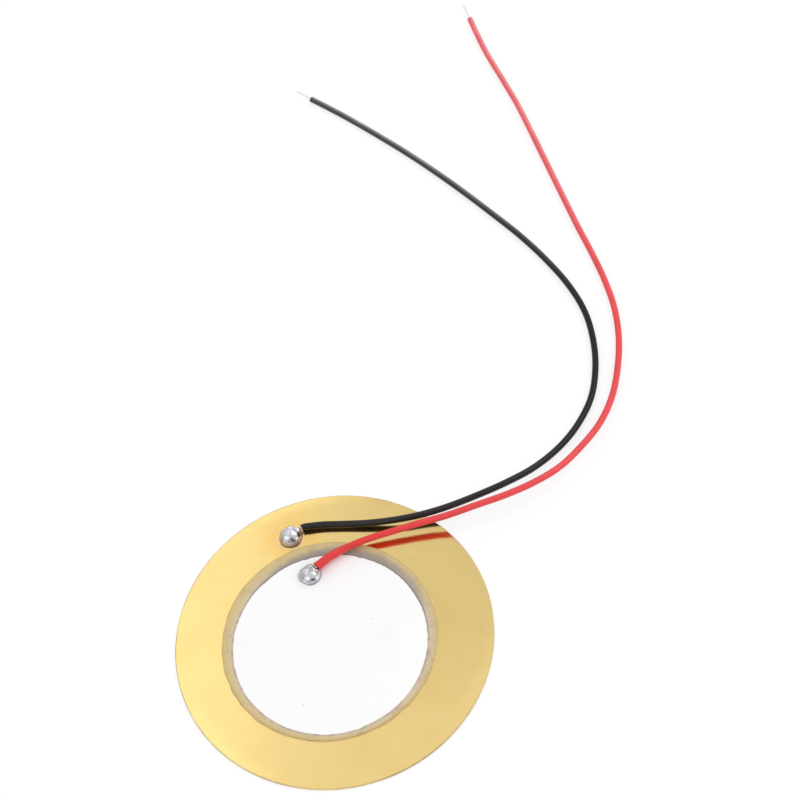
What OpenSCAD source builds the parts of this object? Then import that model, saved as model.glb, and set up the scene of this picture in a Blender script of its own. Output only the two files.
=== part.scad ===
// Piezo disc: a thin ceramic disc bonded to a brass plate, with two soldered leads.
//
// Everything is in millimetres. The plate lies flat on its underside with its centre at the
// origin, and +Z points up through the ceramic. The pieces stack upwards in the order that they
// are put together: plate, adhesive, lower electrode, ceramic, upper electrode, solder, leads.
// The leads leave over the plate's rim, come down and lie on the surface that the plate lies on.

/* [Brass plate] */
// Diameter of the plate
plate_d = 35; // [34:0.5:41]
// Thickness of the plate
plate_t = 0.3; // [0.15:0.05:0.4]
// Rounding that the punch leaves round the top face
plate_roll = 0.06; // [0.02:0.01:0.08]
// Chamfer round the underside, where the burr is taken off
plate_burr = 0.03; // [0.01:0.01:0.05]

/* [Adhesive] */
// Thickness of the adhesive between the plate and the ceramic
bond_t = 0.02; // [0.01:0.005:0.04]
// Radius of the hollow bead that squeezes out round the ceramic and climbs its wall
bond_bead = 0.1; // [0.05:0.01:0.12]
// Thickness of that bead where it ends, on the plate and on the wall
bond_skin = 0.01; // [0.005:0.005:0.02]

/* [Ceramic disc] */
// Diameter of the ceramic
ceramic_d = 23.6; // [22:0.1:24.5]
// Thickness of the ceramic between its electrodes
ceramic_t = 0.19; // [0.12:0.01:0.3]
// Rounding of the fired edge
ceramic_edge = 0.03; // [0.01:0.01:0.05]
// How far the ceramic sits from the plate's centre along X
ceramic_x = -0.5; // [-0.6:0.05:0.6]
// How far the ceramic sits from the plate's centre along Y
ceramic_y = -0.4; // [-0.6:0.05:0.6]

/* [Electrodes] */
// Thickness of each fired silver electrode
silver_t = 0.01; // [0.005:0.005:0.02]
// Width of bare ceramic left round the upper electrode, where it is printed true
top_margin = 1.15; // [1:0.05:2]
// How far the upper electrode is printed off the ceramic's centre along X
top_shift_x = 0; // [-0.5:0.05:0.5]
// How far the upper electrode is printed off the ceramic's centre along Y
top_shift_y = -0.5; // [-0.7:0.05:0.7]
// Width of bare ceramic left round the lower electrode
under_margin = 0.3; // [0.1:0.1:1]

/* [Solder on the plate] */
// Diameter of the dome where it meets the plate
negative_d = 2.6; // [2:0.1:2.8]
// Height of the dome above the plate
negative_h = 1.25; // [0.9:0.05:1.3]
// Gap between the solder's foot and the bead of adhesive
negative_gap = 0.4; // [0.1:0.02:0.6]
// Direction of the joint as seen from the ceramic's centre, in degrees from +X
negative_angle = 102; // [95:0.2:110]
// Height of the conductor's end above the plate
negative_wire_h = 0.5; // [0.35:0.05:0.7]
// Length of bare conductor between the dome and the insulation
negative_bare = 0.42; // [0.35:0.01:0.6]

/* [Solder on the electrode] */
// Diameter of the dome where it meets the electrode
positive_d = 2.7; // [2.2:0.1:3]
// Height of the dome above the electrode
positive_h = 0.95; // [0.75:0.05:1]
// Gap between the solder's foot and the electrode's edge
positive_gap = 0.65; // [0.2:0.05:1]
// Direction of the joint as seen from the electrode's centre, in degrees from +X
positive_angle = 98.2; // [90:0.2:105]
// Height of the conductor's end above the electrode
positive_wire_h = 0.55; // [0.35:0.05:0.55]
// Length of bare conductor between the dome and the insulation
positive_bare = 0.36; // [0.35:0.01:0.6]

/* [Wetting] */
// Radius of the meniscus where a dome meets the metal under it
foot_r = 0.03; // [0.02:0.01:0.1]
// Share of the bare conductor that the solder climbs
neck_share = 0.6; // [0.3:0.05:0.8]
// Thickness of solder round the conductor at the root of that neck
neck_root = 0.16; // [0.1:0.01:0.2]
// Thickness of solder round the conductor where the neck runs out
neck_film = 0.02; // [0.01:0.01:0.05]

/* [Leads] */
// Outside diameter of a lead's insulation
insulation_d = 0.78; // [0.65:0.01:0.85]
// Diameter of a lead's conductor
conductor_d = 0.25; // [0.2:0.05:0.3]
// Gap between the conductor and the bore of its insulation
conductor_gap = 0.01; // [0.005:0.005:0.03]
// Length of bare conductor at the black lead's free end
black_strip = 2.4; // [1:0.1:6]
// Length of bare conductor at the red lead's free end
red_strip = 2.9; // [1:0.1:6]

/* [Hidden] */
$fn = 96;

// Sides of a lead's section, and steps of its curve between two of the route's points
lead_sides = 8;
lead_steps = 2;

// Levels of the stack
bond_z = plate_t;
under_z = bond_z + bond_t;
ceramic_z = under_z + silver_t;
top_z = ceramic_z + ceramic_t;
stack_z = top_z + silver_t;

// Radii and centres of the round pieces
ceramic_r = ceramic_d / 2;
top_r = ceramic_r - top_margin;
under_r = ceramic_r - under_margin;
bead_r = ceramic_r + bond_skin + bond_bead;
ceramic_at = [ceramic_x, ceramic_y];
top_at = ceramic_at + [top_shift_x, top_shift_y];

// Radius of the sphere that a dome of this diameter and height is cut from
function dome_r(d, h) = (d * d / 4 + h * h) / (2 * h);

// Outer radius of a dome's foot, where its meniscus runs out on the metal
function foot_reach(d, h) =
  let (r = dome_r(d, h), drop = foot_r + r - h)
    sqrt(pow(r + foot_r, 2) - drop * drop);

// Where the two joints stand, clear of the edge beside each
negative_reach = bead_r + negative_gap + foot_reach(negative_d, negative_h);
positive_reach = top_r - positive_gap - foot_reach(positive_d, positive_h);
negative_at = ceramic_at + negative_reach * [cos(negative_angle), sin(negative_angle)];
positive_at = top_at + positive_reach * [cos(positive_angle), sin(positive_angle)];

// The conductors' ends inside the solder
negative_end = [negative_at.x, negative_at.y, plate_t + negative_wire_h];
positive_end = [positive_at.x, positive_at.y, stack_z + positive_wire_h];

// Routes of the insulation, solder end first. Each point is [x, y, space under the lead]: over
// the plate the space is measured from the plate's top face, and past the rim from the surface
// that the plate lies on. The first point over the plate only gives the direction in which the
// lead leaves its joint.
black_over = [
  [-1.93, 13.58, 0.2], [-0.9, 13.61, 0.15], [0.6, 13.5, 0.1], [2.9, 13.1, 0.1],
  [6.0, 12.55, 0.33], [9.0, 12.18, 0.68], [12.0, 12.2, 0.82]
];
black_past = [
  [15.0, 12.48, 1.36], [18.4, 13.13, 1.58], [21.8, 14.16, 1.45], [25.23, 15.71, 1.0],
  [28.54, 18.02, 0.5], [31.36, 20.83, 0.2], [33.77, 24.45, 0], [35.17, 28.58, 0],
  [35.76, 32.8, 0], [35.63, 37.01, 0], [34.52, 41.41, 0], [32.61, 45.91, 0],
  [30.2, 50.4, 0], [27.4, 54.8, 0], [24.4, 59.3, 0], [21.29, 63.69, 0],
  [18.09, 67.88, 0], [14.79, 71.88, 0], [11.5, 75.69, 0], [9.1, 78.3, 0], [6.8, 80.7, 0]
];
red_over = [
  [-0.74, 8.05, 0.66], [0.82, 9.04, 0.58], [2.63, 9.78, 0.5], [4.91, 10.33, 0.6],
  [8.0, 10.63, 0.9], [11.0, 10.84, 1.25]
];
red_past = [
  [14.5, 11.01, 1.95], [18.0, 11.46, 2.3], [21.42, 12.04, 2.4], [24.83, 13.05, 2.3],
  [28.04, 14.68, 1.9], [31.06, 17.2, 1.35], [33.88, 20.21, 0.8], [36.11, 23.83, 0.3],
  [37.72, 27.95, 0.1], [38.82, 32.28, 0], [39.26, 36.7, 0], [39.03, 41.11, 0],
  [38.41, 45.6, 0], [37.6, 50.2, 0], [36.89, 54.8, 0], [36.2, 59.4, 0],
  [35.51, 64.0, 0], [34.82, 68.61, 0], [34.06, 73.23, 0], [32.97, 78.23, 0],
  [31.85, 83.22, 0], [31.2, 87.2, 0], [30.7, 90.8, 0]
];

function unit(v) = v / norm(v);
function last(v) = v[len(v) - 1];

// Centreline points of a lead: each route point raised to the middle of the insulation
function lifted(points, base) =
  [for (p = points) [p.x, p.y, base + p.z + insulation_d / 2]];

// Point at t between b and c on the smooth curve that passes through a, b, c and d in turn
function curve_point(a, b, c, d, t) =
  (2 * b + (c - a) * t + (2 * a - 5 * b + 4 * c - d) * t * t
    + (3 * b - a - 3 * c + d) * t * t * t) / 2;

// A curve point, kept up so that the insulation never dips below the surface
function rested(p) = [p.x, p.y, max(p.z, insulation_d / 2)];

// How far from its end a conductor leaves the dome that it is buried in, along the direction v
function burial(end, v, base, d, h) =
  let (rise = end.z - base - (h - dome_r(d, h)))
    sqrt(pow(dome_r(d, h), 2) - rise * rise * (1 - v.z * v.z)) - rise * v.z;

// Distance from a conductor's end to the start of its insulation, as set by its joint
function started(end, aim, base, d, h, bare) =
  burial(end, unit(aim - end), base, d, h) + bare;

// The whole conductor's centreline: its end in the solder, the smooth curve through the
// insulation's points, and the bare tip straight on from the last of them. The insulation
// starts at the distance `start` from the end, on the way to the first point.
function centreline(end, start, route, strip) =
  let (
    n = len(route),
    points = concat([end + start * unit(route[0] - end)], [for (i = [1:n - 1]) route[i]]),
    tip = points[n - 1] + strip * unit(points[n - 1] - points[n - 2]),
    all = concat([end], points, [tip])
  )
    concat(
      [end],
      [for (i = [1:n - 1], s = [0:lead_steps - 1])
        rested(curve_point(all[i - 1], all[i], all[i + 1], all[i + 2], s / lead_steps))],
      [points[n - 1], tip]
    );

// Places with their directions along a centreline, the direction at each from its neighbours
function stations(line) =
  [for (i = [0:len(line) - 1])
    [line[i], unit(line[min(i + 1, len(line) - 1)] - line[max(i - 1, 0)])]];

// One ring of a lead's section at a station, starting at its left side and going over the top
function ring(at, r) =
  let (side = unit(cross([0, 0, 1], at[1])), up = cross(at[1], side))
    [for (k = [0:lead_sides - 1])
      let (a = 360 * k / lead_sides) at[0] + r * (cos(a) * side + sin(a) * up)];

// Faces between ring and ring of one skin. Its points start at number `first`.
function skin(first, rings, outward) =
  [for (i = [0:rings - 2], k = [0:lead_sides - 1])
    let (
      a = first + i * lead_sides + k,
      b = first + i * lead_sides + (k + 1) % lead_sides
    )
      outward ? [a, a + lead_sides, b + lead_sides, b]
              : [a, b, b + lead_sides, a + lead_sides]];

black_route = concat(lifted(black_over, plate_t), lifted(black_past, 0));
red_route = concat(lifted(red_over, plate_t), lifted(red_past, 0));
black_start = started(
  negative_end, black_route[0], plate_t, negative_d, negative_h, negative_bare);
red_start = started(
  positive_end, red_route[0], stack_z, positive_d, positive_h, positive_bare);
black_line = stations(centreline(negative_end, black_start, black_route, black_strip));
red_line = stations(centreline(positive_end, red_start, red_route, red_strip));

// Solid rod along a line of stations
module rod(line, r) {
  n = len(line);
  near = [for (k = [0:lead_sides - 1]) k];
  far = [for (k = [lead_sides - 1:-1:0]) (n - 1) * lead_sides + k];
  polyhedron(
    points = [for (at = line) each ring(at, r)],
    faces = concat([near], skin(0, n, true), [far])
  );
}

// Hollow sleeve along a line of stations, open at both ends
module sleeve(line, r, bore) {
  n = len(line);
  inner = n * lead_sides;
  far = (n - 1) * lead_sides;
  near_rim = [for (k = [0:lead_sides - 1])
    let (j = (k + 1) % lead_sides) [k, j, inner + j, inner + k]];
  far_rim = [for (k = [0:lead_sides - 1])
    let (j = (k + 1) % lead_sides) [far + j, far + k, inner + far + k, inner + far + j]];
  polyhedron(
    points = concat(
      [for (at = line) each ring(at, r)],
      [for (at = line) each ring(at, bore)]
    ),
    faces = concat(near_rim, skin(0, n, true), skin(inner, n, false), far_rim)
  );
}

// Insulation over all but the two ends of a conductor's line
module insulation(line) {
  sleeve([for (i = [1:len(line) - 2]) line[i]], insulation_d / 2, conductor_d / 2 + conductor_gap);
}

// Turns what is drawn along +Z to point along v, with its X side turned underneath
module aimed(v) {
  rotate([0, acos(v.z), atan2(v.y, v.x)]) children();
}

// Half of a round blank's section, with a rounded top edge and a rounded or chamfered bottom edge
module half_section(r, t, top_edge, bottom_edge = 0, chamfer = 0) {
  difference() {
    square([r, t]);
    translate([r - top_edge, t - top_edge]) difference() {
      square(top_edge + 1);
      circle(top_edge);
    }
    if (bottom_edge > 0) translate([r - bottom_edge, bottom_edge]) difference() {
      translate([0, -bottom_edge - 1]) square([bottom_edge + 1, bottom_edge + 1]);
      circle(bottom_edge);
    }
    if (chamfer > 0) polygon([
      [r - chamfer, -1], [r - chamfer, 0], [r, chamfer], [r + 1, chamfer], [r + 1, -1]
    ]);
  }
}

// Half of the ceramic's section
module ceramic_section() {
  half_section(ceramic_r, ceramic_t, ceramic_edge, bottom_edge = ceramic_edge);
}

// Dome of solder standing on z = 0, with a meniscus tangent to the dome and to the metal
module dome(d, h) {
  r = dome_r(d, h);
  drop = h - r;
  reach = foot_reach(d, h);
  touch = [reach * r / (r + foot_r), drop + (foot_r - drop) * r / (r + foot_r)];
  rotate_extrude() {
    intersection() {
      translate([0, drop]) circle(r);
      square([r + 1, h + 1]);
    }
    difference() {
      polygon([[0, 0], [reach, 0], touch, [0, touch.y]]);
      translate([reach, foot_r]) circle(foot_r);
    }
  }
}

// Solder joint: a dome, a neck that climbs the conductor, and the conductor's own socket
module joint(at, base, d, h, line, bare) {
  end = line[0][0];
  v = line[0][1];
  reach = burial(end, v, base, d, h) + neck_share * bare;
  root_r = conductor_d / 2 + neck_root;
  film_r = conductor_d / 2 + neck_film;
  difference() {
    union() {
      translate([at.x, at.y, base]) dome(d, h);
      translate(end) aimed(v) cylinder(h = reach, r1 = root_r, r2 = film_r);
    }
    translate(end) aimed(v) cylinder(h = reach + 1, d = conductor_d, $fn = lead_sides);
  }
}

module brass_plate() {
  color("#d8b45a") rotate_extrude() half_section(plate_d / 2, plate_t, plate_roll, chamfer = plate_burr);
}

// Film of adhesive. Beyond the lower electrode it fills up to the ceramic, and past the
// ceramic's edge it stands as a hollow bead between the plate and the ceramic's wall.
module adhesive_bond() {
  color("#7d7660") translate([ceramic_at.x, ceramic_at.y, bond_z]) rotate_extrude() difference() {
    union() {
      square([ceramic_r, bond_t]);
      translate([under_r, 0]) square([bead_r - under_r, bond_skin + bond_bead]);
    }
    translate([bead_r, bond_skin + bond_bead]) circle(bond_bead);
    translate([0, bond_t + silver_t]) ceramic_section();
  }
}

module lower_electrode() {
  color("#c9c9c6") translate([ceramic_at.x, ceramic_at.y, under_z])
    cylinder(h = silver_t, r = under_r);
}

module ceramic_disc() {
  color("#b9ab92") translate([ceramic_at.x, ceramic_at.y, ceramic_z])
    rotate_extrude() ceramic_section();
}

module upper_electrode() {
  color("#f1f1ee") translate([top_at.x, top_at.y, top_z]) cylinder(h = silver_t, r = top_r);
}

module negative_solder() {
  color("#c4c6ca") joint(negative_at, plate_t, negative_d, negative_h, black_line, negative_bare);
}

module positive_solder() {
  color("#c4c6ca") joint(positive_at, stack_z, positive_d, positive_h, red_line, positive_bare);
}

module black_insulation() {
  color("#1c1c1e") insulation(black_line);
}

module black_conductor() {
  color("#d2d0c8") rod(black_line, conductor_d / 2);
}

module red_insulation() {
  color("#cf2126") insulation(red_line);
}

module red_conductor() {
  color("#d2d0c8") rod(red_line, conductor_d / 2);
}

brass_plate();
adhesive_bond();
lower_electrode();
ceramic_disc();
upper_electrode();
negative_solder();
positive_solder();
black_insulation();
black_conductor();
red_insulation();
red_conductor();
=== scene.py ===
"""Looks of a bare piezo disc: brass plate, bonded ceramic wafer, two solder joints, two stranded leads.

Every piece is in metres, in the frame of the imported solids: the origin is the centre of the plate's
underside, +Z goes up through the ceramic, and +Y points to the side where the leads are soldered on.
Each sub-assembly is a dataclass with its sizes as fields, and each finish is a frozen dataclass that
makes one material. Shapes are grids of points worked out as whole arrays.
"""

from __future__ import annotations

import logging
import math
from dataclasses import dataclass, field
from enum import Enum
from functools import partial, reduce
from typing import Union

import bpy
import numpy as np
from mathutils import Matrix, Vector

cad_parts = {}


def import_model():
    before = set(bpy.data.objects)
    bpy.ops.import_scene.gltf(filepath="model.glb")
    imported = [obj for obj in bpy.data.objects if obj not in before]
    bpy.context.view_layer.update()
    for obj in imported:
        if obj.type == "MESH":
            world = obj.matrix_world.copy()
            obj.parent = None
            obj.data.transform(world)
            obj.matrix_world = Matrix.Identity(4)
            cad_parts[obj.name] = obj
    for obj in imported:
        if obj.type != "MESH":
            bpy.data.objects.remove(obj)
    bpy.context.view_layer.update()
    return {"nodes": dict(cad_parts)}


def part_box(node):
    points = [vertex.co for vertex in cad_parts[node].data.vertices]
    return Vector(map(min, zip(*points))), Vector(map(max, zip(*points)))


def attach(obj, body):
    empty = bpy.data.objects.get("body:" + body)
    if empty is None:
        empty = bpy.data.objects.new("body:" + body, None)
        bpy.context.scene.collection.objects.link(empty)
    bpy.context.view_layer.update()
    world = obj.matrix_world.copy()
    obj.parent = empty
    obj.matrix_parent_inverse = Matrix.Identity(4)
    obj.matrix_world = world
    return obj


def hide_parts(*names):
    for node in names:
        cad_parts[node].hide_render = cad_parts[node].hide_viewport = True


LOG = logging.getLogger("piezo_disc")
MM = 0.001
UM = 0.000001
BODY = "root"

Spot = tuple[float, float]
Place = tuple[float, float, float]
Colour = tuple[float, float, float]
Piece = bpy.types.Object
Socket = bpy.types.NodeSocket
Feed = Union[float, tuple, Socket]


class Slot(Enum):
    """Material slots of the record, by the finish that they stand for."""

    BRASS = "plate_brass"
    GLUE = "adhesive"
    SILVER = "fired_silver"
    CERAMIC = "piezo_ceramic"
    SOLDER = "solder"
    BLACK_PVC = "black_pvc"
    RED_PVC = "red_pvc"
    TINNED = "tinned_copper"


@dataclass(frozen=True)
class RoundSeat:
    """Where a round CAD node stands: its axis, radius and lowest and highest levels."""

    x: float
    y: float
    radius: float
    low: float
    high: float

    @classmethod
    def of(cls, node: str) -> RoundSeat:
        """Read a node's box. Its depth along Y is the full diameter, and its lowest X is free of any neck.

        Args:
            node: The CAD node's name.

        Returns:
            The node's seat.
        """
        low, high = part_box(node)
        radius = (high.y - low.y) / 2.0
        return cls(low.x + radius, (low.y + high.y) / 2.0, radius, low.z, high.z)

    @property
    def centre(self) -> Spot:
        """The axis's x and y."""
        return (self.x, self.y)

    @property
    def tall(self) -> float:
        """Height from the lowest level to the highest."""
        return self.high - self.low


# ---------------------------------------------------------------- surfaces


def smooth_rise(x: np.ndarray, low: float, high: float) -> np.ndarray:
    """Rise from 0 at low to 1 at high along 3t^2 - 2t^3, level outside them."""
    t = np.clip((x - low) / (high - low), 0.0, 1.0)
    return t * t * (3.0 - 2.0 * t)


def unit(vectors: np.ndarray) -> np.ndarray:
    """The vectors at length 1."""
    return vectors / np.linalg.norm(vectors, axis=-1, keepdims=True)


def round_angles(columns: int) -> np.ndarray:
    """Angles spread evenly round a circle from 0, in radians."""
    return np.arange(columns) * math.tau / columns


def arc(radius: float, start: float, stop: float, steps: int) -> tuple[np.ndarray, np.ndarray]:
    """Points of an arc about the origin, as two arrays, from one angle to the other in degrees."""
    turn = np.radians(np.linspace(start, stop, steps))
    return radius * np.cos(turn), radius * np.sin(turn)


def ripple(angle: np.ndarray, seed: int, lowest: int, highest: int) -> np.ndarray:
    """A closed wavy line round a circle: a sum of whole-numbered waves, each weaker with its number.

    Args:
        angle: Angles round the circle, in radians.
        seed: Seed of the waves' strengths and starting angles.
        lowest: Number of the longest wave.
        highest: Number of the shortest wave.

    Returns:
        The line's height at each angle, with a root mean square of about 1.
    """
    draw = np.random.default_rng(seed)
    number = np.arange(lowest, highest + 1)
    strength = draw.normal(size=number.size) / np.sqrt(number)
    start = draw.uniform(0.0, math.tau, number.size)
    wave = np.cos(angle[..., None] * number + start) @ strength
    return wave / math.sqrt(0.5 * float(strength @ strength))


def swell(points: np.ndarray, seed: int, wavelength: float, waves: int = 9) -> np.ndarray:
    """A smooth random height at each point: a sum of plane waves in random directions.

    Args:
        points: Places, in metres, with x, y and z last.
        seed: Seed of the waves' directions and starting angles.
        wavelength: Middle wavelength, in metres.
        waves: How many waves are summed.

    Returns:
        The height at each point, with a root mean square of about 1.
    """
    draw = np.random.default_rng(seed)
    heading = unit(draw.normal(size=(waves, 3)))
    count = math.tau / (wavelength * draw.uniform(0.7, 1.5, waves))
    start = draw.uniform(0.0, math.tau, waves)
    phase = points @ (heading * count[:, None]).T + start
    return np.cos(phase).sum(axis=-1) * math.sqrt(2.0 / waves)


def placed(name: str, data: bpy.types.ID) -> Piece:
    """Make an object at the origin and put it into the scene.

    Args:
        name: The object's name.
        data: Its mesh, light or camera.

    Returns:
        The object.
    """
    made = bpy.data.objects.new(name, data)
    bpy.context.scene.collection.objects.link(made)
    return made


@dataclass
class Draft:
    """Closed shells gathered into one mesh: points, faces, and a UV pair for each corner of a face."""

    points: list[np.ndarray] = field(default_factory=list)
    faces: list[list[int]] = field(default_factory=list)
    uv: list[np.ndarray] = field(default_factory=list)
    count: int = 0

    def add_points(self, places: np.ndarray) -> int:
        """Keep more points.

        Args:
            places: The points, with x, y and z last.

        Returns:
            The number of the first of them.
        """
        first = self.count
        self.points.append(places.reshape(-1, 3))
        self.count += places.size // 3
        return first

    def add_faces(self, corners: list[np.ndarray], u: list[np.ndarray], v: list[np.ndarray]) -> None:
        """Add faces of three or four corners, given corner by corner as arrays of point numbers, u and v."""
        self.faces += np.stack(corners, 1).tolist()
        self.uv.append(np.stack([np.stack(u, 1), np.stack(v, 1)], 2).reshape(-1, 2))

    def add_grid(self, places: np.ndarray, along: np.ndarray, ring: bool = False) -> int:
        """Add a grid whose columns close on themselves, outer side where rows run on and columns turn left.

        Args:
            places: Rows by columns by 3 points.
            along: Each row's distance along the surface, for the second UV number.
            ring: Whether the last row joins the first again.

        Returns:
            The number of the grid's first point.
        """
        rows, columns = places.shape[:2]
        first = self.add_points(places)
        i, j = np.indices((rows if ring else rows - 1, columns)).reshape(2, -1)
        i_up, j_on = (i + 1) % rows, (j + 1) % columns
        low, high = first + i * columns, first + i_up * columns
        u, u_on, v, v_up = j / columns, (j + 1) / columns, along[i], along[i_up]
        self.add_faces([low + j, low + j_on, high + j_on, high + j], [u, u_on, u_on, u], [v, v, v_up, v_up])
        return first

    def add_pole(self, row_first: int, columns: int, pole: np.ndarray, along: float, under: bool) -> None:
        """Close a grid's end row with a fan round one point.

        Args:
            row_first: Number of the end row's first point.
            columns: How many points the row has.
            pole: The point in the middle.
            along: The pole's second UV number.
            under: Whether the fan closes the grid's first row, and not its last.
        """
        j = np.arange(columns)
        here, on = row_first + j, row_first + (j + 1) % columns
        middle = np.full(columns, self.add_points(np.asarray(pole, float)))
        u, v = (j + 0.5) / columns, np.full(columns, along)
        self.add_faces([middle, on, here] if under else [middle, here, on], [u] * 3, [v] * 3)

    def add_body(self, places: np.ndarray, along: np.ndarray, bottom: np.ndarray, top: np.ndarray) -> None:
        """Add a grid and close it at both ends.

        Args:
            places: Rows by columns by 3 points.
            along: Each row's distance along the surface, for the second UV number.
            bottom: The point that closes the first row.
            top: The point that closes the last row.
        """
        rows, columns = places.shape[:2]
        first = self.add_grid(places, along)
        self.add_pole(first, columns, bottom, along[0], under=True)
        self.add_pole(first + (rows - 1) * columns, columns, top, along[-1], under=False)

    def build(self, name: str, crease: float = 38.0) -> Piece:
        """Make the mesh object, smooth but for edges sharper than the crease.

        Args:
            name: The piece's name.
            crease: Angle in degrees above which an edge stays sharp.

        Returns:
            The new object, at the origin and in the scene.
        """
        mesh = bpy.data.meshes.new(name)
        mesh.from_pydata(np.concatenate(self.points).tolist(), [], self.faces)
        corners = np.concatenate(self.uv).astype(np.float32).ravel()
        mesh.uv_layers.new(name="skin").data.foreach_set("uv", corners)
        mesh.polygons.foreach_set("use_smooth", np.ones(len(mesh.polygons), bool))
        mesh.set_sharp_from_angle(angle=math.radians(crease))
        mesh.validate()
        mesh.update()
        return placed(name, mesh)


def revolved(centre: Spot, radius: np.ndarray, height: np.ndarray) -> np.ndarray:
    """Carry rows round an upright axis.

    Args:
        centre: The axis's x and y.
        radius: Each point's distance from the axis, rows by columns.
        height: Each point's height, or each row's.

    Returns:
        The points centre + radius (cos a, sin a), where a = 2 pi column / columns.
    """
    angle = round_angles(radius.shape[1])
    flat = [centre[0] + radius * np.cos(angle), centre[1] + radius * np.sin(angle)]
    return np.stack([*flat, np.broadcast_to(height, radius.shape)], axis=-1)


def turned(name: str, centre: Spot, radius: np.ndarray, height: np.ndarray) -> Piece:
    """Make a piece of rows carried round an upright axis, closed at poles on the axis.

    Args:
        name: The piece's name.
        centre: The axis's x and y.
        radius: Rows by columns of radii, from the bottom pole to the top pole.
        height: Heights, by rows and columns or one for each row.

    Returns:
        The piece. Its poles are as high as the middle of their rows.
    """
    places = revolved(centre, radius, height)
    bottom, top = ([*centre, float(places[row, :, 2].mean())] for row in (0, -1))
    draft = Draft()
    draft.add_body(places, np.linspace(0.0, 1.0, len(places)), bottom, top)
    return draft.build(name)


# ---------------------------------------------------------------- material nodes


class Sheet:
    """A sheet of shader nodes, with short names for the sums that the finishes and the room share."""

    def __init__(self, tree: bpy.types.NodeTree) -> None:
        """Start from a tree with nothing in it."""
        self.tree = tree
        tree.nodes.clear()

    def feed(self, socket: Socket, value: Feed) -> None:
        """Link a socket to another, or give it a plain value.

        Args:
            socket: The input socket.
            value: An output socket, a number, or a tuple for a colour or a vector.
        """
        if isinstance(value, bpy.types.NodeSocket):
            self.tree.links.new(value, socket)
        elif isinstance(value, tuple) and socket.type == "RGBA":
            socket.default_value = (*value, 1.0)
        else:
            socket.default_value = value

    def node(
        self, kind: str, feeds: dict[int | str, Feed] | None = None, **settings: object
    ) -> bpy.types.Node:
        """Add a node.

        Args:
            kind: The node's type.
            feeds: What goes into its sockets, by their names or numbers.
            settings: Its properties.

        Returns:
            The new node.
        """
        made = self.tree.nodes.new(kind)
        for key, value in settings.items():
            setattr(made, key, value)
        for key, value in (feeds or {}).items():
            self.feed(made.inputs[key], value)
        return made

    def math(self, operation: str, first: Feed, second: Feed = 0.0) -> Socket:
        """One sum on numbers."""
        return self.node("ShaderNodeMath", {0: first, 1: second}, operation=operation).outputs[0]

    def product(self, *factors: Feed) -> Socket:
        """Multiply two or more numbers."""
        return reduce(partial(self.math, "MULTIPLY"), factors)

    def total(self, *terms: Feed) -> Socket:
        """Add two or more numbers."""
        return reduce(partial(self.math, "ADD"), terms)

    def between(self, share: Feed, first: Feed, second: Feed) -> Socket:
        """Blend two numbers, share 0 giving the first."""
        feeds = {0: share, 2: first, 3: second}
        return self.node("ShaderNodeMix", feeds, data_type="FLOAT", clamp_factor=True).outputs[0]

    def rise(self, value: Feed, low: float, high: float, start: float = 0.0, end: float = 1.0) -> Socket:
        """Map a number smoothly from start at low to end at high."""
        feeds = {0: value, 1: low, 2: high, 3: start, 4: end}
        return self.node("ShaderNodeMapRange", feeds, interpolation_type="SMOOTHSTEP").outputs[0]

    def parts(self, vector: Feed) -> tuple[Socket, ...]:
        """The x, y and z of a vector."""
        return tuple(self.node("ShaderNodeSeparateXYZ", {0: vector}).outputs)


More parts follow.
